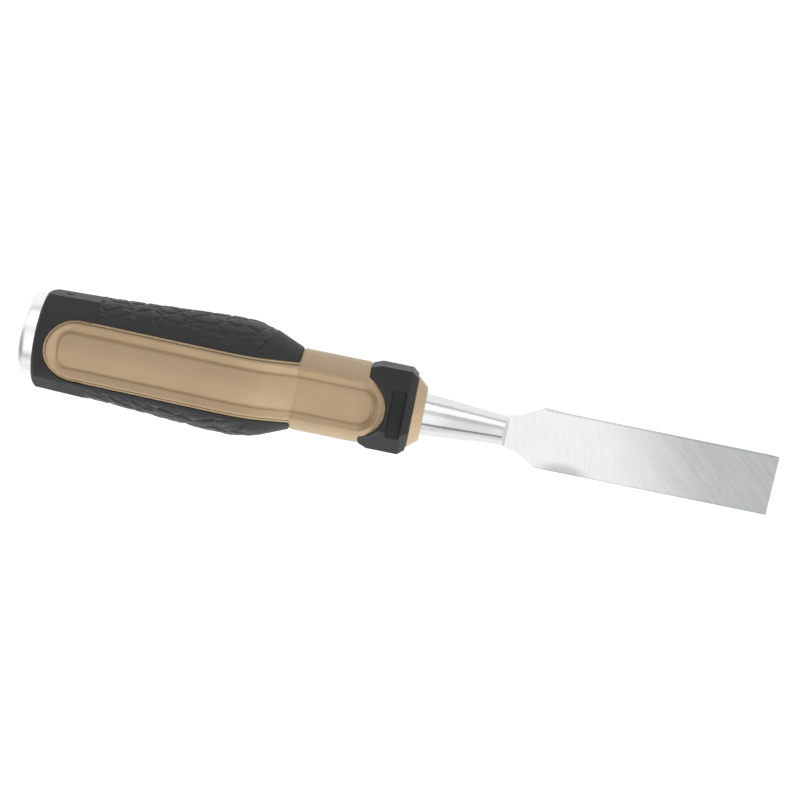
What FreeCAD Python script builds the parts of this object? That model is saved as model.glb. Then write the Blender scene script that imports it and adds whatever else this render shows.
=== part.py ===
import FreeCAD, Part
import math
import os

# Bench chisel with a through tang, a steel strike cap and an overmoulded handle. Millimetres.
# The origin is the centre of the strike face. +X runs along the axis to the cutting edge,
# and +Z is the outward normal of the blade's flat back and of the handle's front panel.

V = FreeCAD.Vector
X_AXIS = V(1, 0, 0)
Y_AXIS = V(0, 1, 0)
ORIGIN = V(0, 0, 0)
FAR = 40.0  # longer than any radius of the tool, for cutters

# Strike cap
CAP_R = 14.8
CAP_LENGTH = 5.0
CAP_EDGE_ROUND = 2.0
CAP_BOSS_R = 8.0
CAP_BOSS_END = 17.0
CAP_GROOVE_DEPTH = 0.8
CAP_GROOVE_WIDTH = 1.4
CAP_GROOVE_PITCH = 3.4
CAP_GROOVE_COUNT = 2

# Blade forging
BLADE_WIDTH = 20.0
BLADE_THICKNESS = 4.0
BLADE_TIP_X = 252.1
SHOULDER_X = 173.2
BEVEL_ANGLE = 25.0
EDGE_LAND = 0.1
SIDE_LAND = 1.6
SIDE_BEVEL_INSET = 4.0
SIDE_BEVEL_START_X = 186.0
GRINDING_WHEEL_R = 30.0
NECK_STATIONS = [(133.8, 7.05), (142.0, 6.6), (152.0, 5.7), (158.7, 5.15), (161.3, 5.03)]
NECK_RIDGE_END = (186.0, 1.0)
FLARE_MID = (165.2, 5.8)
FLARE_LINE_START = (168.6, 7.25)
RAMP_FOOT_X = 162.2
RAMP_ANGLE = 62.0
BOLSTER_R = 7.05
BOLSTER_REAR_X = 127.0
TANG_WIDTH = 9.0
TANG_HEIGHT = 6.0
TANG_SPIGOT_R = 3.5
TANG_SPIGOT_REAR_X = 9.0

# Handle outline, shared by the grip, the panels and the core beneath them: (x, radius)
GRIP_STATIONS = [(5.0, 16.9), (22.7, 17.3), (42.0, 18.4), (58.7, 19.4)]
GRIP_STATIONS += [(69.5, 19.85), (76.0, 19.4), (81.3, 17.85)]
GRIP_TIP = (90.7, 13.9)
BARREL_R = 13.75
BARREL_REAR_X = 91.3
BARREL_FRONT_X = 113.7
WALL = 3.2
EDGE_ROUND = 0.5

# Rear band of the grip: round towards the panels, flat between the facet angles at the sides
BAND_END_X = 22.7
BAND_REAR_R = 17.05
BAND_FRONT_R = 17.65
FACET_ANGLES = [40.0, 67.0]
BAND_CHAMFER = 2.0
BAND_MOUTH_R = 15.9
MARK_X = 11.5
MARK_LENGTH = 2.4
MARK_DEPTH = 0.5

# Panels
WINDOW_REAR_X = 8.4
WINDOW_FRONT_X = 121.5
WINDOW_HALF = 10.3
RIM_WIDTH = 0.9
RIM_DROP = 0.4
PANEL_GAP = 0.25
PANEL_BEAD_WIDTH = 2.2
PANEL_FLOOR_DROP = 1.1
PANEL_TONGUE_R = 13.9
PANEL_RAMP_TOP = (79.0, 17.9)
PANEL_LEVEL = (90.7, 11.5)

# Textured pads
PAD_DEPTH = 1.5
PAD_DROP = 0.3
PAD_BORDER = 1.8
PAD_REAR_X = 23.2
PAD_SHOULDER = (75.5, 16.0)
PAD_FRONT_X = 81.3

# Front collar and nose
COLLAR_SECTIONS = [(114.2, 14.0), (117.3, 15.25), (127.8, 15.25), (130.0, 13.4)]
COLLAR_SIDES = 8
LIP_WIDTH = 0.7
LIP_HEIGHT = 0.3
SLOT_REAR_X = 122.6
SLOT_FRONT_X = 127.2
SLOT_HALF = 7.8
SLOT_FLOOR_Z = 11.5
SLOT_ROUND = 0.8
NOSE_REAR_R = 12.3
NOSE_FRONT_R = 9.0
NOSE_FRONT_X = 133.8
NOSE_ROUND = 1.0


def revolve(edges, seam=90):
    """Solid of revolution about the X axis. The edges run from one point on the axis to another.

    The seam is turned by seam degrees from +Z, which puts it at the -Y side, away from the panels."""
    start = edges[0].Vertexes[0].Point
    end = edges[-1].Vertexes[-1].Point
    closing = Part.makeLine(end, start)
    face = Part.Face(Part.Wire(edges + [closing]))
    return face.revolve(ORIGIN, X_AXIS, 360).rotate(ORIGIN, X_AXIS, seam)


def turned(points):
    """Solid turned from straight runs between (x, radius) points, closed on the axis at both ends."""
    points = [(points[0][0], 0.0)] + points + [(points[-1][0], 0.0)]
    corners = [V(x, 0, r) for x, r in points]
    return revolve([Part.makeLine(a, b) for a, b in zip(corners, corners[1:])])


def rod(r, x0, x1):
    return Part.makeCylinder(r, x1 - x0, V(x0, 0, 0), X_AXIS)


def box(x0, x1, y0, y1, z0, z1):
    return Part.makeBox(x1 - x0, y1 - y0, z1 - z0, V(x0, y0, z0))


def across(corners):
    """Prism across the whole tool with these (x, z) corners."""
    points = [V(x, -FAR, z) for x, z in corners]
    return Part.Face(Part.makePolygon(points + [points[0]])).extrude(V(0, 2 * FAR, 0))


def handle_body(offset, front_x, front_r):
    """Body of revolution under the handle's outline moved out by offset, then level at front_r up to front_x."""
    points = [V(x, 0, r + offset) for x, r in GRIP_STATIONS]
    tip = V(GRIP_TIP[0], 0, GRIP_TIP[1] + offset)
    curve = Part.BSplineCurve()
    curve.interpolate(Points=points, InitialTangent=points[1] - points[0], FinalTangent=tip - points[-1])
    run = [V(tip.x, 0, front_r), V(front_x, 0, front_r), V(front_x, 0, 0)]
    edges = [Part.makeLine(V(points[0].x, 0, 0), points[0]), curve.toShape(), Part.makeLine(points[-1], tip)]
    for a, b in zip([tip] + run, run):
        if a.distanceToPoint(b) > 1e-6:
            edges.append(Part.makeLine(a, b))
    return revolve(edges)


def seat_body():
    """The core's surface under the rubber and the panels."""
    return handle_body(-WALL, COLLAR_SECTIONS[-1][0], BARREL_R - WALL)


def panel_body(drop):
    """The handle's outline, level on the barrel and the tongue, and lowered by drop."""
    return handle_body(-drop, WINDOW_FRONT_X + 1, PANEL_TONGUE_R - drop)


def stadium(inset, side):
    """Prism with the panel window's outline moved in by inset, from the axis plane out to side * FAR in Z."""
    r = WINDOW_HALF - inset
    rear = WINDOW_REAR_X + WINDOW_HALF
    front = WINDOW_FRONT_X - WINDOW_HALF
    edges = [
        Part.makeLine(V(rear, r, 0), V(front, r, 0)),
        Part.Arc(V(front, r, 0), V(front + r, 0, 0), V(front, -r, 0)).toShape(),
        Part.makeLine(V(front, -r, 0), V(rear, -r, 0)),
        Part.Arc(V(rear, -r, 0), V(rear - r, 0, 0), V(rear, r, 0)).toShape(),
    ]
    return Part.Face(Part.Wire(edges)).extrude(V(0, 0, side * FAR))


def strike_cap():
    """Hardened disc with a grooved boss that the core is moulded round, and a socket for the tang."""
    cap = turned([(0, CAP_R), (CAP_LENGTH, CAP_R), (CAP_LENGTH, CAP_BOSS_R), (CAP_BOSS_END, CAP_BOSS_R)])
    face_edge = [e for e in cap.Edges if e.BoundBox.XMax < 1e-6 and e.isClosed()]
    cap = cap.makeFillet(CAP_EDGE_ROUND, face_edge)
    for i in range(CAP_GROOVE_COUNT):
        x = CAP_BOSS_END - (i + 1) * CAP_GROOVE_PITCH
        ring = rod(CAP_BOSS_R + 1, x, x + CAP_GROOVE_WIDTH)
        cap = cap.cut(ring.cut(rod(CAP_BOSS_R - CAP_GROOVE_DEPTH, x, x + CAP_GROOVE_WIDTH)))
    return cap.cut(rod(TANG_SPIGOT_R, TANG_SPIGOT_REAR_X, CAP_BOSS_END))


def blade_plate():
    """The flared shoulder and the parallel blade, before the bevels."""
    half = BLADE_WIDTH / 2
    root_x, root_r = NECK_STATIONS[-1]
    edges = [Part.makeLine(V(BLADE_TIP_X, half, 0), V(BLADE_TIP_X, -half, 0))]
    edges.append(Part.makeLine(V(root_x, root_r, 0), V(root_x, -root_r, 0)))
    for side in (1, -1):
        root = V(root_x, side * root_r, 0)
        mid = V(FLARE_MID[0], side * FLARE_MID[1], 0)
        line_start = V(FLARE_LINE_START[0], side * FLARE_LINE_START[1], 0)
        corner = V(SHOULDER_X, side * half, 0)
        edges.append(Part.Arc(root, mid, line_start).toShape())
        edges.append(Part.makeLine(line_start, corner))
        edges.append(Part.makeLine(corner, V(BLADE_TIP_X, side * half, 0)))
    outline = Part.Wire(Part.sortEdges(edges)[0])
    plate = Part.Face(outline).extrude(V(0, 0, BLADE_THICKNESS))
    return plate.translate(V(0, 0, -BLADE_THICKNESS / 2))


def neck():
    """Bolster, tapered neck, and the ridge that fades into the underside of the blade."""
    points = [V(x, 0, r) for x, r in NECK_STATIONS]
    curve = Part.BSplineCurve()
    curve.interpolate(points)
    ridge_end = V(NECK_RIDGE_END[0], 0, NECK_RIDGE_END[1])
    bolster_rear = V(BOLSTER_REAR_X, 0, BOLSTER_R)
    edges = [
        Part.makeLine(V(BOLSTER_REAR_X, 0, 0), bolster_rear),
        Part.makeLine(bolster_rear, points[0]),
        curve.toShape(),
        Part.makeLine(points[-1], ridge_end),
        Part.makeLine(ridge_end, V(ridge_end.x, 0, 0)),
    ]
    return revolve(edges, seam=0)


def back_cutter():
    """What is ground away above the flat back, with a steep ramp at the end of the neck."""
    z = BLADE_THICKNESS / 2
    lean = FAR / math.tan(math.radians(RAMP_ANGLE))
    end = BLADE_TIP_X + FAR
    return across([(RAMP_FOOT_X, z), (RAMP_FOOT_X - lean, z + FAR), (end, z + FAR), (end, z)])


def edge_bevel_cutter():
    """What is ground away under the cutting edge."""
    top = BLADE_THICKNESS / 2 - EDGE_LAND
    drop = 2 * BLADE_THICKNESS
    run = drop / math.tan(math.radians(BEVEL_ANGLE))
    end = BLADE_TIP_X + 1
    return across([(BLADE_TIP_X, top), (BLADE_TIP_X - run, top - drop), (end, top - drop), (end, top)])


def side_bevel_cutter(side):
    """Bevel along one edge of the underside, with the run-out that a grinding wheel leaves."""
    length = BLADE_TIP_X + FAR - SIDE_BEVEL_START_X
    cutter = box(0, length, -FAR, FAR, 0, 2 * GRINDING_WHEEL_R)
    wheel = Part.makeCylinder(GRINDING_WHEEL_R, 2 * FAR, V(0, -FAR, GRINDING_WHEEL_R), Y_AXIS)
    cutter = cutter.fuse(wheel)
    angle = math.degrees(math.atan2(BLADE_THICKNESS - SIDE_LAND, SIDE_BEVEL_INSET))
    cutter.rotate(ORIGIN, X_AXIS, 180 + side * angle)
    return cutter.translate(V(SIDE_BEVEL_START_X, side * BLADE_WIDTH / 2, BLADE_THICKNESS / 2 - SIDE_LAND))


def blade():
    """One forging: blade, shoulder, neck, bolster, and a tang that ends in a spigot in the strike cap."""
    body = blade_plate().fuse(neck())
    body = body.cut(back_cutter()).cut(edge_bevel_cutter())
    body = body.cut(side_bevel_cutter(1)).cut(side_bevel_cutter(-1))
    tang = box(CAP_BOSS_END, BOLSTER_REAR_X, -TANG_WIDTH / 2, TANG_WIDTH / 2, -TANG_HEIGHT / 2, TANG_HEIGHT / 2)
    return body.fuse(tang).fuse(rod(TANG_SPIGOT_R, TANG_SPIGOT_REAR_X, CAP_BOSS_END))


def handle_core(cap, forging):
    """Hard moulding round the tang: seat under the rubber, barrel, nose, and a rim round each panel."""
    barrel = rod(BARREL_R, BARREL_REAR_X, BARREL_FRONT_X)
    barrel = barrel.makeFillet(EDGE_ROUND, [e for e in barrel.Edges if e.isClosed()])
    nose = turned([(COLLAR_SECTIONS[-1][0], NOSE_REAR_R), (NOSE_FRONT_X, NOSE_FRONT_R)])
    front_edge = [e for e in nose.Edges if e.BoundBox.XMin > NOSE_FRONT_X - 1e-3 and e.isClosed()]
    nose = nose.makeFillet(NOSE_ROUND, front_edge)
    seat = seat_body()
    body = seat.fuse(barrel).fuse(nose)
    for side in (1, -1):
        rim = stadium(0, side).cut(stadium(RIM_WIDTH, side))
        body = body.fuse(rim.common(panel_body(RIM_DROP)))
        body = body.cut(stadium(RIM_WIDTH, side).cut(seat))
    return body.cut(cap).cut(forging)


def inlay(side):
    """Panel inside the core's rim: a raised bead round a shallow floor, which ramps down to a flat on the barrel."""
    outer = stadium(RIM_WIDTH + PANEL_GAP, side)
    floor = stadium(RIM_WIDTH + PANEL_GAP + PANEL_BEAD_WIDTH, side)
    blank = outer.common(panel_body(0)).cut(seat_body())
    (top_x, top_z), (level_x, level_z) = PANEL_RAMP_TOP, PANEL_LEVEL
    corners = [(top_x, top_z), (level_x, level_z), (WINDOW_FRONT_X, level_z), (WINDOW_FRONT_X, FAR), (top_x, FAR)]
    level = across([(x, side * z) for x, z in corners])
    return blank.cut(floor.cut(panel_body(PANEL_FLOOR_DROP))).cut(floor.common(level))


def band_section(x, r):
    """Outline of the rear band: arcs towards both panels, flats between the facet angles at both sides."""
    inner, outer = (math.radians(a) for a in FACET_ANGLES)
    angles = [-inner, inner, outer, math.pi - outer, math.pi - inner]
    angles += [math.pi + inner, math.pi + outer, 2 * math.pi - outer]
    points = [V(x, r * math.sin(a), r * math.cos(a)) for a in angles]
    crowns = {0: V(x, 0, r), 4: V(x, 0, -r)}
    edges = []
    for i, start in enumerate(points):
        end = points[(i + 1) % len(points)]
        edges.append(Part.Arc(start, crowns[i], end).toShape() if i in crowns else Part.makeLine(start, end))
    return Part.Wire(edges)


def grip_blank():
    """The rubber grip before its windows and pads are cut."""
    sections = [band_section(CAP_LENGTH, BAND_REAR_R), band_section(BAND_END_X, BAND_FRONT_R)]
    chamfer_end = CAP_LENGTH + BAND_CHAMFER
    mouth = [(CAP_LENGTH, BAND_MOUTH_R), (chamfer_end, BAND_MOUTH_R + BAND_CHAMFER), (chamfer_end, FAR), (BAND_END_X, FAR)]
    band = Part.makeLoft(sections, True, True).common(turned(mouth))
    lobes = handle_body(0, *GRIP_TIP).common(box(BAND_END_X, 2 * FAR + BAND_END_X, -FAR, FAR, -FAR, FAR))
    return band.fuse(lobes)


def pad_zone(side, drop):
    """Slice of the grip on one side where the pad lies, from drop below the outline down to the pad's depth."""
    x, z = PAD_SHOULDER
    edges = [
        Part.makeLine(V(PAD_REAR_X, 0, -z), V(PAD_REAR_X, 0, z)),
        Part.makeLine(V(PAD_REAR_X, 0, z), V(x, 0, z)),
        Part.Arc(V(x, 0, z), V(PAD_FRONT_X, 0, 0), V(x, 0, -z)).toShape(),
        Part.makeLine(V(x, 0, -z), V(PAD_REAR_X, 0, -z)),
    ]
    prism = Part.Face(Part.Wire(edges)).extrude(V(0, side * FAR, 0))
    prism = prism.cut(stadium(-PAD_BORDER, 1)).cut(stadium(-PAD_BORDER, -1))
    tip_x, tip_r = GRIP_TIP
    shell = handle_body(-drop, tip_x, tip_r - drop).cut(handle_body(-PAD_DEPTH, tip_x, tip_r - PAD_DEPTH))
    return shell.common(prism)


def grip_sleeve():
    """Soft overmould: rear band and two lobes beside the panel windows, recessed for the pads."""
    body = grip_blank().cut(seat_body())
    for side in (1, -1):
        body = body.cut(stadium(0, side)).cut(pad_zone(side, -1))
    flat_y = BAND_REAR_R * math.sin(math.radians(FACET_ANGLES[1]))
    mark = Part.makeCylinder(MARK_LENGTH / 2, FAR, V(MARK_X, flat_y - MARK_DEPTH, 0), Y_AXIS)
    return body.cut(mark)


def octagon(x, r):
    """Eight-sided outline with a flat towards each panel."""
    step = 2 * math.pi / COLLAR_SIDES
    angles = [(i + 0.5) * step for i in range(COLLAR_SIDES)]
    points = [V(x, r * math.sin(a), r * math.cos(a)) for a in angles]
    return Part.makePolygon(points + [points[0]])


def collar_blank(grow):
    return Part.makeLoft([octagon(x, r + grow) for x, r in COLLAR_SECTIONS], True, True)


def front_collar():
    """Soft eight-sided collar, cut out for each panel's tongue, with a slot across each flat."""
    body = collar_blank(0)
    for side in (1, -1):
        lip = stadium(-LIP_WIDTH, side).common(collar_blank(LIP_HEIGHT))
        body = body.fuse(lip).cut(stadium(0, side))
        low, high = sorted((side * SLOT_FLOOR_Z, side * FAR))
        slot = box(SLOT_REAR_X, SLOT_FRONT_X, -SLOT_HALF, SLOT_HALF, low, high)
        corners = [e for e in slot.Edges if e.Length > FAR / 2]
        body = body.cut(slot.makeFillet(SLOT_ROUND, corners))
    return body.cut(seat_body())


def main():
    cap = strike_cap()
    forging = blade()
    parts = {
        "blade": forging,
        "strike_cap": cap,
        "handle_core": handle_core(cap, forging),
        "front_inlay": inlay(1),
        "back_inlay": inlay(-1),
        "grip_sleeve": grip_sleeve(),
        "left_grip_pad": pad_zone(1, PAD_DROP),
        "right_grip_pad": pad_zone(-1, PAD_DROP),
        "front_collar": front_collar(),
    }
    os.makedirs("parts", exist_ok=True)
    for name, shape in parts.items():
        shape.exportStep(f"parts/{name}.step")
        print(name, shape.isValid(), len(shape.Solids), round(shape.Volume, 1), shape.BoundBox)


main()
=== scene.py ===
import math

import bmesh
import bpy
import numpy as np
from mathutils import Matrix, Vector, noise


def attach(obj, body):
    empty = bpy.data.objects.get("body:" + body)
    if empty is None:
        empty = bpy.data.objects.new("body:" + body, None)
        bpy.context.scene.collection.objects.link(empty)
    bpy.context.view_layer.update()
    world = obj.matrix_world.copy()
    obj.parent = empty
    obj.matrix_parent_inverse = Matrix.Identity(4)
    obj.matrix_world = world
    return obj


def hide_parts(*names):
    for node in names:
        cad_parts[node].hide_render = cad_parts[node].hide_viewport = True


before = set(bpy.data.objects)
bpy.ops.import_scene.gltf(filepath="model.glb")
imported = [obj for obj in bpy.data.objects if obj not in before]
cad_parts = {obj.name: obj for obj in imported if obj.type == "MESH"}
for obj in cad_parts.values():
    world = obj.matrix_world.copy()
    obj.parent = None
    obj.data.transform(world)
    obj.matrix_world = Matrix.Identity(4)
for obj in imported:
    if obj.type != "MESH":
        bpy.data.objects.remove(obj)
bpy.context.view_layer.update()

# Bench chisel. Lengths in this script are in millimetres, and MM turns them into Blender's metres.
# +X runs from the strike face to the cutting edge, and +Z is the side with the blade's flat back.
MM = 0.001
FAR = 1000.0

# Handle outline, as in the CAD: (x, radius)
GRIP_STATIONS = [(5.0, 16.9), (22.7, 17.3), (42.0, 18.4), (58.7, 19.4), (69.5, 19.85), (76.0, 19.4), (81.3, 17.85)]
GRIP_TIP = (90.7, 13.9)
TONGUE_R = 13.9

# Panel window and the inlay's profile
WINDOW_REAR_X = 8.4
WINDOW_FRONT_X = 121.5
WINDOW_HALF = 10.3
INLAY_EDGE = 0.95
INLAY_CREST = 1.75
INLAY_CREASE = 4.4
INLAY_CREASE_CORNER = 3.7
INLAY_DEPTH = 3.0
FLOOR_DROP = 1.1
FLOOR_SAG = 0.8
FLOOR_RAMP_TOP = (79.0, 17.9)
FLOOR_LEVEL = (91.2, 10.8)
FLOOR_CAMBER = (0.05, 0.0125)
CREASE_GROOVE = 0.42
CREASE_WIDTH = 0.45

# The inlay's low front end, the line across it where the barrel starts, and its bead there: (inset, height)
TONGUE_DIP_X = (111.0, 116.0)
TONGUE_TOP_Z = 12.6
JOINT_LINE_X = 91.0
JOINT_LINE_DEPTH = 0.16
BARREL_BEAD = [(1.75, 0.0), (2.1, 0.2), (2.5, 0.22), (3.4, 0.0)]

# Grip pads
PAD_REAR_X = 23.2
PAD_EDGE_Y = 12.1
PAD_ARC = (56.33, 24.97)
PAD_OVERLAP = 0.25
PAD_THICKNESS = 1.1
PAD_MAX_Y = 19.5

# Ends of the barrel, where the core shows in a narrow joint: (x0, x1)
JOINTS = [(90.8, 92.0), (113.0, 114.15)]
JOINT_R = 13.4


# ---------------------------------------------------------------- shapes

def clamped_spline(points, slope_start, slope_end):
    """A function of x: the smooth cubic through the points, with these slopes at its ends."""
    x, y = np.array(points, float).T
    h = np.diff(x)
    rise = np.diff(y) / h
    count = len(x)
    matrix = np.eye(count)
    right = np.array([slope_start] + [0.0] * (count - 2) + [slope_end])
    for i in range(1, count - 1):
        matrix[i, i - 1:i + 2] = h[i], 2 * (h[i - 1] + h[i]), h[i - 1]
        right[i] = 3 * (h[i] * rise[i - 1] + h[i - 1] * rise[i])
    slope = np.linalg.solve(matrix, right)

    def value(at):
        at = np.clip(at, x[0], x[-1])
        i = np.clip(np.searchsorted(x, at) - 1, 0, count - 2)
        t = (at - x[i]) / h[i]
        a = y[i] * (1 + 2 * t) * (1 - t) ** 2 + slope[i] * h[i] * t * (1 - t) ** 2
        return a + y[i + 1] * t ** 2 * (3 - 2 * t) - slope[i + 1] * h[i] * t ** 2 * (1 - t)

    return value


END = GRIP_STATIONS[-1]
GRIP_SLOPES = (
    (GRIP_STATIONS[1][1] - GRIP_STATIONS[0][1]) / (GRIP_STATIONS[1][0] - GRIP_STATIONS[0][0]),
    (GRIP_TIP[1] - END[1]) / (GRIP_TIP[0] - END[0]),
)
grip_curve = clamped_spline(GRIP_STATIONS, *GRIP_SLOPES)


def outline(x):
    """Radius of the handle's outline over the panels."""
    x = np.asarray(x, float)
    taper = END[1] + (x - END[0]) * GRIP_SLOPES[1]
    return np.where(x < END[0], grip_curve(x), np.where(x < GRIP_TIP[0], taper, TONGUE_R))


def ring(inset, straight=260, arc=22, end=5):
    """Closed loop of (x, y) points, the window's outline moved in by inset, with fuller corners further in."""
    half = WINDOW_HALF - inset
    rear = WINDOW_REAR_X + inset
    front = WINDOW_FRONT_X - inset
    full = half * 0.97
    share = np.clip((inset - 1.9) / (INLAY_CREASE - 1.9), 0, 1)
    share = share * share * (3 - 2 * share)
    corner = min(full, full + (INLAY_CREASE_CORNER * half / (WINDOW_HALF - INLAY_CREASE) - full) * share)
    turn = (np.arange(arc) + 0.5) / arc * math.pi / 2
    rise = (np.arange(end) + 0.5) / end * (half - corner)
    run = rear + corner + (np.arange(straight) + 0.5) / straight * (front - rear - 2 * corner)
    x = np.concatenate([
        np.full(end, rear), rear + corner * (1 - np.cos(turn)), run,
        front - corner * (1 - np.sin(turn)), np.full(end, front),
    ])
    y = np.concatenate([
        rise, half - corner * (1 - np.sin(turn)), np.full(straight, half),
        half - corner * (1 - np.cos(turn)), rise[::-1],
    ])
    return np.concatenate([x, x[::-1]]), np.concatenate([y, -y[::-1]])


def smooth_min(a, b, width):
    """The lower of a and b, rounded where they cross."""
    gap = np.clip(0.5 + (b - a) / (2 * width), 0, 1)
    return b + (a - b) * gap - width * gap * (1 - gap)


def inlay_height(x, y, inset):
    """Height of the inlay: a rounded edge, a crest, a wall down to a crease, and the floor inside it."""
    edge = 0.6 * np.clip((1.4 - inset) / 0.45, 0, 1) ** 2.2
    crest = np.sqrt((outline(x) - edge) ** 2 - y ** 2)
    on_tongue = np.interp(x, TONGUE_DIP_X, (0.0, 1.0))
    crest = crest + (smooth_min(crest, TONGUE_TOP_Z, 0.4) - crest) * on_tongue
    floor = np.sqrt((outline(x) - FLOOR_DROP) ** 2 - y ** 2) - FLOOR_SAG * (y / 5.9) ** 2
    (top_x, top_z), (level_x, level_z) = FLOOR_RAMP_TOP, FLOOR_LEVEL
    ramp = top_z + (x - top_x) * (level_z - top_z) / (level_x - top_x)
    ramp = -smooth_min(-ramp, np.full_like(ramp, -level_z), 0.25)
    ramp = ramp - np.interp(x, [81.0, level_x], FLOOR_CAMBER) * y ** 2
    floor = smooth_min(floor, ramp, 0.15)
    share = np.clip((inset - INLAY_CREST) / (INLAY_CREASE - INLAY_CREST), 0, 1) ** 1.1
    groove = CREASE_GROOVE * np.exp(-((inset - INLAY_CREASE) / CREASE_WIDTH) ** 2)
    bead = np.interp(inset, *zip(*BARREL_BEAD)) * np.interp(x, (87.0, 92.0), (0.0, 1.0))
    joint = JOINT_LINE_DEPTH * np.exp(-((x - JOINT_LINE_X) / 0.5) ** 2)
    return crest + (floor - crest) * share - groove + bead - joint


def inlay_loop(inset):
    """One loop of the inlay's top. From the barrel forward the outermost loops spread over the core's rim."""
    x, y = ring(inset)
    if inset >= INLAY_CREST:
        return x, y, inlay_height(x, y, inset)
    spread_to = np.interp(inset, [INLAY_EDGE, INLAY_CREST], [0.1, INLAY_CREST])
    wide_x, wide_y = ring(spread_to)
    share = np.clip((x - 90.6) / 1.2, 0, 1)
    share = share * share * (3 - 2 * share)
    z = inlay_height(x, y, inset)
    x = x + (wide_x - x) * share
    y = y + (wide_y - y) * share
    dip = 0.16 * np.clip((1.16 - inset) / 0.2, 0, 1)
    wide_z = np.sqrt((TONGUE_R - dip) ** 2 - y ** 2)
    on_tongue = np.interp(x, TONGUE_DIP_X, (0.0, 1.0))
    wide_z = wide_z + (smooth_min(wide_z, TONGUE_TOP_Z - dip, 0.4) - wide_z) * on_tongue
    return x, y, z + (wide_z - z) * share


def inlay_mesh(side):
    """Vertices in millimetres and faces of one inlay, built from loops nested inside the window."""
    top = np.concatenate([
        [0.95, 0.98, 1.02, 1.08, 1.16, 1.26, 1.4], np.linspace(1.55, 2.4, 6), np.linspace(2.6, 3.8, 7),
        np.linspace(3.9, 5.1, 11), np.linspace(5.4, 9.9, 11),
    ])
    loops = []
    for inset in (9.9, 5.0, INLAY_EDGE):
        x, y, z = inlay_loop(inset)
        loops.append(np.column_stack([x, y, inlay_height(x, y, INLAY_EDGE) - INLAY_DEPTH]))
    for inset in top:
        loops.append(np.column_stack(inlay_loop(inset)))
    count = len(loops[0])
    points = np.concatenate(loops)
    points[:, 2] *= side
    faces = []
    for level in range(len(loops) - 1):
        a, b = level * count, (level + 1) * count
        for i in range(count):
            j = (i + 1) % count
            faces.append((a + j, a + i, b + i, b + j))
    for base, flip in ((0, 0), ((len(loops) - 1) * count, 1)):
        for i in range(count // 2 - 1):
            quad = (base + i, base + i + 1, base + count - 2 - i, base + count - 1 - i)
            faces.append(quad if not flip else quad[::-1])
    if side < 0:
        faces = [f[::-1] for f in faces]
    return points, faces


def new_object(name, points, faces):
    mesh = bpy.data.meshes.new(name)
    mesh.from_pydata((np.asarray(points) * MM).tolist(), [], faces)
    mesh.update()
    return placed(name, mesh)


def placed(name, mesh):
    mesh.polygons.foreach_set("use_smooth", [True] * len(mesh.polygons))
    piece = bpy.data.objects.new(name, mesh)
    bpy.context.scene.collection.objects.link(piece)
    return piece


def baked(piece):
    """The piece's mesh with its modifiers applied."""
    graph = bpy.context.evaluated_depsgraph_get()
    mesh = bpy.data.meshes.new_from_object(piece.evaluated_get(graph))
    old = piece.data
    piece.modifiers.clear()
    piece.data = mesh
    bpy.data.meshes.remove(old)
    mesh.polygons.foreach_set("use_smooth", [True] * len(mesh.polygons))
    return piece


def sector(x0, x1, r0, r1, side, steps=24):
    """Closed part of a ring between two radii, at one side of the panels, as points and faces."""
    reach = math.acos(WINDOW_HALF / r1)
    points, faces = [], []
    for i in range(steps + 1):
        a = reach * (2 * i / steps - 1)
        for x, r in ((x0, r0), (x0, r1), (x1, r1), (x1, r0)):
            points.append((x, side * r * math.cos(a), r * math.sin(a)))
    for i in range(steps):
        for j in range(4):
            k = (j + 1) % 4
            faces.append((4 * i + j, 4 * i + k, 4 * i + 4 + k, 4 * i + 4 + j))
    faces += [(3, 2, 1, 0), tuple(4 * steps + j for j in range(4))]
    return points, [f[::-1] for f in faces] if side < 0 else faces


def moulded(node, name, voxel, rounds, extras=()):
    """A copy of a CAD node, with any extra closed meshes merged in, as an even mesh with softly rounded edges."""
    work = bmesh.new()
    work.from_mesh(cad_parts[node].data)
    for points, faces in extras:
        made = [work.verts.new([v * MM for v in p]) for p in points]
        for face in faces:
            work.faces.new([made[i] for i in face])
    mesh = bpy.data.meshes.new(name)
    work.to_mesh(mesh)
    work.free()
    piece = placed(name, mesh)
    remesh = piece.modifiers.new("voxels", "REMESH")
    remesh.mode = "VOXEL"
    remesh.voxel_size = voxel * MM
    smooth = piece.modifiers.new("smooth", "SMOOTH")
    smooth.factor = 0.5
    smooth.iterations = rounds
    return baked(piece)


def crackle(point, scale, seed):
    """0 in the furrows between irregular cells, rising to 1 inside them."""
    warp = noise.noise_vector(point * 0.35 / scale + seed)
    place = point / scale + warp * 0.55 + seed
    distance, _ = noise.voronoi(place, distance_metric="DISTANCE", exponent=2.5)
    return min(1.0, max(0.0, (distance[1] - distance[0]) * 3.2))


def hide_depth(x, y, z, side):
    """How far the pad's irregular hide pattern is pressed in at a point."""
    p = Vector((x * 0.8, y, z))
    coarse = crackle(p, 5.2, Vector((7.3, 1.1, side * 3.7)))
    fine = crackle(p, 1.8, Vector((2.9, 8.4, side * 5.1)))
    swell = noise.noise(p * 0.22 + Vector((side * 9.0, 0, 0)))
    return 0.46 * (1 - coarse) ** 1.5 + 0.09 * (1 - fine) + 0.12 * (0.5 - 0.5 * swell)


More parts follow.
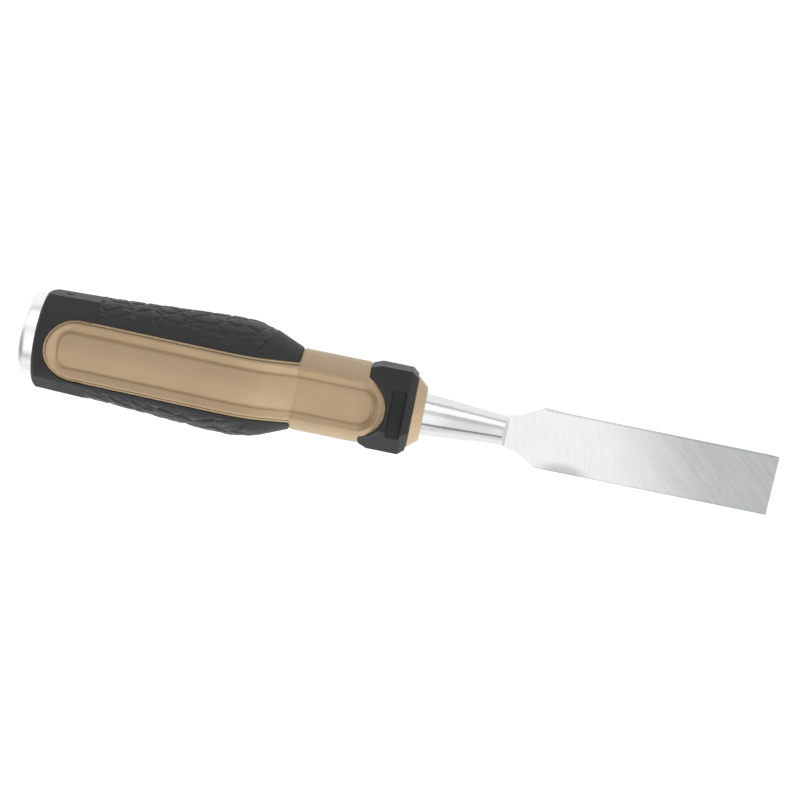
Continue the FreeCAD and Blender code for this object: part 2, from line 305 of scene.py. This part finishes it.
def pad_mesh(side):
    """Vertices in millimetres and faces of one grip pad: an embossed skin over a plain underside, as two grids."""
    centre, radius = PAD_ARC
    turn = math.acos((76.17 - centre) / radius)
    x = np.concatenate([np.linspace(PAD_REAR_X - PAD_OVERLAP, 76.0, 200), centre + radius * np.cos(np.linspace(turn, 0.02, 36))])
    reach_arc = np.sqrt(np.maximum(radius ** 2 - np.maximum(x - centre, 0) ** 2, 1e-4))
    skin = outline(x)
    edge_z = np.sqrt(skin ** 2 - (PAD_EDGE_Y - PAD_OVERLAP) ** 2)
    reach = np.arcsin(np.clip(np.minimum(edge_z, np.where(x > 76.1, reach_arc, FAR)) / skin, 0, 1))
    share = np.linspace(-1, 1, 131)
    a = reach[:, None] * share[None, :]
    xx = np.repeat(x[:, None], len(share), 1)
    y, z = skin[:, None] * np.cos(a), skin[:, None] * np.sin(a)
    to_edge = np.minimum(skin[:, None] * (reach[:, None] - np.abs(a)), np.minimum(xx - x[0], (x[-1] - xx) * 1.0 + 0.0))
    lift = np.clip(to_edge / 0.9, 0, 1)
    lift = lift * lift * (3 - 2 * lift)
    press = np.array([hide_depth(*p, side) for p in zip(xx.ravel(), y.ravel(), z.ravel())]).reshape(xx.shape)
    top = smooth_min(skin[:, None] - 0.1, PAD_MAX_Y / np.cos(a), 0.1) - 0.1 * (1 - lift) - press * lift
    low = np.repeat((skin - 0.3 - PAD_THICKNESS)[:, None], len(share), 1)
    points = []
    for r in (top, low):
        points.append(np.column_stack([xx.ravel(), side * (r * np.cos(a)).ravel(), (r * np.sin(a)).ravel()]))
    rows, cols = xx.shape
    total = rows * cols
    at = np.arange(total).reshape(rows, cols)
    faces = []
    for i in range(rows - 1):
        for j in range(cols - 1):
            quad = (at[i, j], at[i, j + 1], at[i + 1, j + 1], at[i + 1, j])
            faces.append(quad)
            faces.append(tuple(total + k for k in quad[::-1]))
    border = list(at[0, :]) + list(at[1:, -1]) + list(at[-1, -2::-1]) + list(at[-2:0:-1, 0])
    for a_, b_ in zip(border, border[1:] + border[:1]):
        faces.append((b_, a_, total + a_, total + b_))
    if side > 0:
        faces = [f[::-1] for f in faces]
    return np.concatenate(points), [tuple(int(v) for v in f) for f in faces]


# ---------------------------------------------------------------- materials

def feed(tree, socket, value):
    if isinstance(value, bpy.types.NodeSocket):
        tree.links.new(value, socket)
    else:
        socket.default_value = value


def calc(tree, operation, *values):
    node = tree.nodes.new("ShaderNodeMath")
    node.operation = operation
    for socket, value in zip(node.inputs, values):
        feed(tree, socket, value)
    return node.outputs[0]


def spread(tree, value, low, high, to_low, to_high):
    node = tree.nodes.new("ShaderNodeMapRange")
    for socket, item in zip(node.inputs, (value, low, high, to_low, to_high)):
        feed(tree, socket, item)
    return node.outputs[0]


def smoothstep(tree, value, low, high):
    node = tree.nodes.new("ShaderNodeMapRange")
    node.interpolation_type = "SMOOTHSTEP"
    feed(tree, node.inputs[0], value)
    node.inputs[1].default_value = low
    node.inputs[2].default_value = high
    return node.outputs[0]


def mix_value(tree, share, a, b):
    node = tree.nodes.new("ShaderNodeMix")
    for name, item in (("Factor", share), ("A", a), ("B", b)):
        feed(tree, node.inputs[name], item)
    return node.outputs[0]


def mix_colour(tree, share, a, b, kind="MIX"):
    node = tree.nodes.new("ShaderNodeMix")
    node.data_type = "RGBA"
    node.blend_type = kind
    feed(tree, node.inputs[0], share)
    feed(tree, node.inputs[6], a)
    feed(tree, node.inputs[7], b)
    return node.outputs[2]


def noise_of(tree, vector, scale, detail=2.0, roughness=0.5, distortion=0.0):
    node = tree.nodes.new("ShaderNodeTexNoise")
    feed(tree, node.inputs["Vector"], vector)
    node.inputs["Scale"].default_value = scale
    node.inputs["Detail"].default_value = detail
    node.inputs["Roughness"].default_value = roughness
    node.inputs["Distortion"].default_value = distortion
    return node.outputs[0]


def combine(tree, x, y, z):
    node = tree.nodes.new("ShaderNodeCombineXYZ")
    for socket, value in zip(node.inputs, (x, y, z)):
        feed(tree, socket, value)
    return node.outputs[0]


def bump(tree, height, distance, strength=1.0, normal=None):
    node = tree.nodes.new("ShaderNodeBump")
    node.inputs["Strength"].default_value = strength
    node.inputs["Distance"].default_value = distance
    feed(tree, node.inputs["Height"], height)
    if normal is not None:
        feed(tree, node.inputs["Normal"], normal)
    return node.outputs[0]


def material(name, **sockets):
    """A new material, its node tree, its main shader, and the x, y and z of the point in millimetres."""
    made = bpy.data.materials.new(name)
    made.use_nodes = True
    tree = made.node_tree
    shader = tree.nodes["Principled BSDF"]
    for key, value in sockets.items():
        shader.inputs[key.replace("_", " ")].default_value = value
    place = tree.nodes.new("ShaderNodeTexCoord").outputs["Object"]
    scaled = tree.nodes.new("ShaderNodeVectorMath")
    scaled.operation = "SCALE"
    feed(tree, scaled.inputs[0], place)
    scaled.inputs["Scale"].default_value = 1 / MM
    parts = tree.nodes.new("ShaderNodeSeparateXYZ")
    feed(tree, parts.inputs[0], scaled.outputs[0])
    return made, tree, shader, scaled.outputs[0], list(parts.outputs)


def steel_blade():
    made, tree, shader, place, (x, y, z) = material("blade_steel", Metallic=1.0)
    # Grinding lines on the flats: nearly across the blade at the shoulder, slanting near the tip
    def slanted(angle, fine, seed):
        c, d = math.cos(math.radians(angle)), math.sin(math.radians(angle))
        over = calc(tree, "ADD", calc(tree, "MULTIPLY", x, d), calc(tree, "MULTIPLY", y, c))
        run = calc(tree, "SUBTRACT", calc(tree, "MULTIPLY", x, c), calc(tree, "MULTIPLY", y, d))
        spot = combine(tree, calc(tree, "MULTIPLY", over, fine), calc(tree, "MULTIPLY", run, fine * 0.05), seed)
        return noise_of(tree, spot, 1.0, 6.0, 0.62)

    lean = smoothstep(tree, calc(tree, "SUBTRACT", x, calc(tree, "MULTIPLY", y, 0.5)), 194.0, 218.0)
    lines = mix_value(tree, lean, slanted(79.0, 4.0, 1.3), slanted(42.0, 3.4, 4.7))
    coarse = mix_value(tree, lean, slanted(79.0, 0.9, 2.2), slanted(42.0, 0.7, 6.1))
    # Polishing lines along the neck
    turn = calc(tree, "ARCTAN2", y, z)
    neck_lines = noise_of(tree, combine(tree, calc(tree, "MULTIPLY", x, 0.05), calc(tree, "MULTIPLY", turn, 22.0), 0.0), 1.0, 4.0, 0.6)
    flat = smoothstep(tree, x, 160.6, 162.4)
    grain = mix_value(tree, flat, neck_lines, lines)
    patch = noise_of(tree, place, 0.11, 3.0, 0.55)
    # Painted shade: the ground flats' colour is painted darker toward the tip
    painted_tip_shade = smoothstep(tree, calc(tree, "ADD", x, calc(tree, "MULTIPLY", y, 0.6)), 192.0, 236.0)
    ground_with_painted_shade = mix_colour(tree, painted_tip_shade, (0.69, 0.697, 0.705, 1), (0.43, 0.444, 0.444, 1))
    colour = mix_colour(tree, flat, (0.66, 0.67, 0.68, 1), ground_with_painted_shade)
    shade = spread(tree, grain, 0.3, 0.7, 0.91, 1.06)
    shade = calc(tree, "MULTIPLY", shade, spread(tree, coarse, 0.3, 0.7, mix_value(tree, lean, 0.98, 0.92), mix_value(tree, lean, 1.02, 1.07)))
    # Darker along the blade's edges, and painted shade near the shoulder
    edge_darkening = calc(tree, "MULTIPLY", smoothstep(tree, calc(tree, "ABSOLUTE", y), 9.5, 9.85), smoothstep(tree, x, 171.0, 175.0))
    shade = calc(tree, "MULTIPLY", shade, spread(tree, edge_darkening, 0.0, 1.0, 1.0, 0.72))
    # Painted shade: a dark patch painted into the steel's colour on the lower edge near the shoulder
    px = calc(tree, "DIVIDE", calc(tree, "SUBTRACT", x, 183.0), 9.0)
    py = calc(tree, "DIVIDE", calc(tree, "ADD", y, 9.6), calc(tree, "ADD", 1.6, calc(tree, "MULTIPLY", grain, 3.0)))
    away = calc(tree, "SQRT", calc(tree, "ADD", calc(tree, "MULTIPLY", px, px), calc(tree, "MULTIPLY", py, py)))
    painted_dark_patch = calc(tree, "SUBTRACT", 1.0, smoothstep(tree, away, 0.3, 1.2))
    shade = calc(tree, "MULTIPLY", shade, spread(tree, painted_dark_patch, 0.0, 1.0, 1.0, 0.68))
    shade = mix_value(tree, flat, 1.0, shade)
    colour = mix_colour(tree, 1.0, colour, combine(tree, shade, shade, shade), "MULTIPLY")
    feed(tree, shader.inputs["Base Color"], colour)
    rough = spread(tree, grain, 0.25, 0.75, 0.24, 0.34)
    rough = calc(tree, "ADD", rough, spread(tree, patch, 0.3, 0.7, -0.02, 0.03))
    feed(tree, shader.inputs["Roughness"], mix_value(tree, flat, spread(tree, neck_lines, 0.3, 0.7, 0.10, 0.17), rough))
    height = mix_value(tree, flat, calc(tree, "MULTIPLY", neck_lines, 0.15), lines)
    feed(tree, shader.inputs["Normal"], bump(tree, height, 0.012 * MM, 0.6))
    return made


def steel_cap():
    made, tree, shader, place, (x, y, z) = material("cap_steel", Metallic=1.0)
    radius = calc(tree, "SQRT", calc(tree, "ADD", calc(tree, "MULTIPLY", y, y), calc(tree, "MULTIPLY", z, z)))
    rings = noise_of(tree, combine(tree, calc(tree, "MULTIPLY", radius, 5.0), calc(tree, "MULTIPLY", x, 5.0), 0.0), 1.0, 4.0, 0.6)
    marks = noise_of(tree, place, 0.6, 5.0, 0.65)
    colour = mix_colour(tree, marks, (0.74, 0.765, 0.76, 1), (0.84, 0.86, 0.85, 1))
    # Painted shade: a dark patch painted on the rounded edge
    px = calc(tree, "DIVIDE", calc(tree, "SUBTRACT", x, 0.8), 1.3)
    py = calc(tree, "DIVIDE", calc(tree, "ADD", y, 1.5), calc(tree, "ADD", 4.0, calc(tree, "MULTIPLY", marks, 5.0)))
    away = calc(tree, "SQRT", calc(tree, "ADD", calc(tree, "MULTIPLY", px, px), calc(tree, "MULTIPLY", py, py)))
    painted_dark_patch = spread(tree, smoothstep(tree, away, 0.3, 1.2), 0.0, 1.0, 0.5, 1.0)
    feed(tree, shader.inputs["Base Color"], mix_colour(tree, 1.0, colour, combine(tree, painted_dark_patch, painted_dark_patch, painted_dark_patch), "MULTIPLY"))
    feed(tree, shader.inputs["Roughness"], calc(tree, "ADD", spread(tree, rings, 0.3, 0.7, 0.24, 0.32), spread(tree, marks, 0.4, 0.75, 0.0, 0.08)))
    feed(tree, shader.inputs["Normal"], bump(tree, calc(tree, "ADD", calc(tree, "MULTIPLY", rings, 0.2), marks), 0.02 * MM, 0.5))
    return made


def tan_plastic(name, colour):
    made, tree, shader, place, (x, y, z) = material(name, Specular_IOR_Level=0.5)
    cloud = noise_of(tree, place, 0.09, 3.0, 0.5)
    flow = noise_of(tree, combine(tree, calc(tree, "MULTIPLY", x, 0.06), y, z), 0.35, 3.0, 0.5)
    grain = noise_of(tree, place, 7.0, 3.0, 0.6)
    scuffs = noise_of(tree, combine(tree, calc(tree, "MULTIPLY", x, 0.5), calc(tree, "MULTIPLY", y, 3.0), z), 0.9, 5.0, 0.7)
    shade = calc(tree, "MULTIPLY", spread(tree, cloud, 0.3, 0.7, 0.96, 1.04), spread(tree, flow, 0.3, 0.7, 0.97, 1.03))
    shade = calc(tree, "MULTIPLY", shade, spread(tree, grain, 0.2, 0.8, 0.975, 1.025))
    feed(tree, shader.inputs["Base Color"], mix_colour(tree, 1.0, colour, combine(tree, shade, shade, shade), "MULTIPLY"))
    rough = calc(tree, "ADD", spread(tree, grain, 0.2, 0.8, 0.36, 0.44), spread(tree, scuffs, 0.55, 0.8, 0.0, 0.12))
    feed(tree, shader.inputs["Roughness"], rough)
    feed(tree, shader.inputs["Normal"], bump(tree, calc(tree, "ADD", grain, calc(tree, "MULTIPLY", scuffs, 0.4)), 0.012 * MM, 0.5))
    return made


def rubber(name, colour, rough_low, rough_high, relief):
    made, tree, shader, place, (x, y, z) = material(name, Specular_IOR_Level=0.3)
    cloud = noise_of(tree, place, 0.12, 3.0, 0.55)
    grain = noise_of(tree, place, 5.0, 4.0, 0.65)
    dust = noise_of(tree, place, 0.7, 5.0, 0.7)
    shade = calc(tree, "MULTIPLY", spread(tree, cloud, 0.3, 0.7, 0.9, 1.1), spread(tree, grain, 0.3, 0.7, 0.93, 1.07))
    base = mix_colour(tree, 1.0, colour, combine(tree, shade, shade, shade), "MULTIPLY")
    base = mix_colour(tree, spread(tree, dust, 0.55, 0.85, 0.0, 0.08), base, (0.12, 0.12, 0.125, 1))
    feed(tree, shader.inputs["Base Color"], base)
    feed(tree, shader.inputs["Roughness"], spread(tree, cloud, 0.3, 0.7, rough_low, rough_high))
    feed(tree, shader.inputs["Normal"], bump(tree, grain, relief * MM, 0.6))
    return made


# ---------------------------------------------------------------- pieces

MATERIALS = {
    "blade_steel": steel_blade(),
    "cap_steel": steel_cap(),
    "core_plastic": tan_plastic("core_plastic", (0.30, 0.218, 0.128, 1)),
    "inlay_plastic": tan_plastic("inlay_plastic", (0.285, 0.201, 0.114, 1)),
    "grip_rubber": rubber("grip_rubber", (0.011, 0.011, 0.0118, 1), 0.50, 0.60, 0.02),
    "pad_rubber": rubber("pad_rubber", (0.011, 0.011, 0.0118, 1), 0.36, 0.50, 0.03),
    "collar_rubber": rubber("collar_rubber", (0.0095, 0.0095, 0.0108, 1), 0.42, 0.55, 0.02),
}


def finish_piece(piece, node, slot):
    piece.data.materials.clear()
    piece.data.materials.append(MATERIALS[slot])
    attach(piece, "root")
    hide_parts(node)


for node, slot in (("blade", "blade_steel"), ("strike_cap", "cap_steel")):
    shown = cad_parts[node]
    for i in range(len(shown.material_slots)):
        shown.material_slots[i].link = "OBJECT"
        shown.material_slots[i].material = MATERIALS[slot]

for side, node in ((1, "front_inlay"), (-1, "back_inlay")):
    panel = new_object(node + "_moulding", *inlay_mesh(side))
    finish_piece(panel, node, "inlay_plastic")

fillers = [sector(x0, x1, 9.0, JOINT_R, side) for x0, x1 in JOINTS for side in (1, -1)]
finish_piece(moulded("handle_core", "core_moulding", 0.3, 2, fillers), "handle_core", "core_plastic")
finish_piece(moulded("grip_sleeve", "grip_moulding", 0.3, 2), "grip_sleeve", "grip_rubber")
finish_piece(moulded("front_collar", "collar_moulding", 0.25, 2), "front_collar", "collar_rubber")
for side, node in ((1, "left_grip_pad"), (-1, "right_grip_pad")):
    finish_piece(new_object(node + "_hide", *pad_mesh(side)), node, "pad_rubber")


# ---------------------------------------------------------------- studio

FLOOR_Z = -18.6
CENTRE_X = 125.3
CAMERA_DISTANCE = 593.0
CAMERA_TILT = math.radians(10.5)
CAMERA_ROLL = math.radians(11.5)
AXIS_DROP = 3.0


def floor():
    half = 6000.0
    plane = new_object("floor", [(-half, -half, FLOOR_Z), (half, -half, FLOOR_Z), (half, half, FLOOR_Z), (-half, half, FLOOR_Z)], [(0, 1, 2, 3)])
    made = bpy.data.materials.new("floor")
    made.use_nodes = True
    shader = made.node_tree.nodes["Principled BSDF"]
    shader.inputs["Base Color"].default_value = (0.16, 0.16, 0.16, 1)
    shader.inputs["Roughness"].default_value = 0.9
    shader.inputs["Specular IOR Level"].default_value = 0.1
    shader.inputs["Emission Color"].default_value = (1, 1, 1, 1)
    shader.inputs["Emission Strength"].default_value = 0.95
    plane.data.materials.append(made)


def tent():
    """Light tent: its brightness by the angle from straight up, across the tool and along it."""
    world = bpy.data.worlds.new("tent")
    world.use_nodes = True
    bpy.context.scene.world = world
    tree = world.node_tree
    direction = tree.nodes.new("ShaderNodeTexCoord").outputs["Generated"]
    parts = tree.nodes.new("ShaderNodeSeparateXYZ")
    feed(tree, parts.inputs[0], direction)
    x, y, z = parts.outputs
    across = spread(tree, calc(tree, "ARCTAN2", y, z), -math.pi, math.pi, 0.0, 1.0)
    walls = tree.nodes.new("ShaderNodeValToRGB")
    feed(tree, walls.inputs[0], across)
    stops = [
        (-180, 1.1), (-92, 1.1), (-75, 1.3), (-57, 1.3), (-50, 0.4), (-42, 0.4), (-37, 1.42), (-5, 1.42), (8, 1.38),
        (18, 1.0), (33, 1.0), (43, 1.95), (66, 1.95), (78, 0.78), (90, 0.75), (100, 1.1), (180, 1.1),
    ]
    ramp = walls.color_ramp
    ramp.elements.remove(ramp.elements[1])
    for i, (angle, level) in enumerate(stops):
        position = angle / 360 + 0.5
        stop = ramp.elements[0] if i == 0 else ramp.elements.new(position)
        stop.position = position
        stop.color = (level / 2, level / 2, level / 2, 1)
    along = spread(tree, calc(tree, "ARCTAN2", x, z), -math.pi, math.pi, 0.0, 1.0)
    length = tree.nodes.new("ShaderNodeValToRGB")
    feed(tree, length.inputs[0], along)
    stops = [(-180, 0.8), (-60, 0.75), (-35, 0.85), (-15, 1.0), (6, 1.0), (13, 0.72), (24, 0.75), (40, 1.0), (180, 1.0)]
    ramp = length.color_ramp
    ramp.elements.remove(ramp.elements[1])
    for i, (angle, level) in enumerate(stops):
        position = angle / 360 + 0.5
        stop = ramp.elements[0] if i == 0 else ramp.elements.new(position)
        stop.position = position
        stop.color = (level, level, level, 1)
    background = tree.nodes["Background"]
    feed(tree, background.inputs["Color"], mix_colour(tree, 1.0, walls.outputs[0], length.outputs[0], "MULTIPLY"))
    background.inputs["Strength"].default_value = 2.0


def key_light():
    """One large soft light, low from the front and the -Y side."""
    made = bpy.data.lights.new("key", "AREA")
    made.shape = "DISK"
    made.size = 700 * MM
    made.energy = 8.0
    shown = bpy.data.objects.new("key", made)
    bpy.context.scene.collection.objects.link(shown)
    toward = Vector((0.58, -0.71, 0.41)).normalized()
    shown.location = (Vector((70, 0, 0)) + toward * 900) * MM
    shown.rotation_euler = toward.to_track_quat("Z", "Y").to_euler()
    shown.visible_glossy = False


def camera():
    back = Vector((0, math.sin(CAMERA_TILT), math.cos(CAMERA_TILT)))
    along = Vector((1, 0, 0))
    over = back.cross(along)
    right = along * math.cos(CAMERA_ROLL) + over * math.sin(CAMERA_ROLL)
    up = over * math.cos(CAMERA_ROLL) - along * math.sin(CAMERA_ROLL)
    target = Vector((CENTRE_X, 0, 0)) + over * AXIS_DROP
    place = (target + back * CAMERA_DISTANCE) * MM
    made = bpy.data.cameras.new("camera")
    made.lens = 80.2
    made.sensor_width = 36.0
    made.clip_start = 0.01
    shown = bpy.data.objects.new("camera", made)
    bpy.context.scene.collection.objects.link(shown)
    turn = Matrix((right, up, back)).transposed().to_4x4()
    shown.matrix_world = Matrix.Translation(place) @ turn
    bpy.context.scene.camera = shown


floor()
tent()
key_light()
camera()
bpy.context.scene.view_settings.view_transform = "Standard"
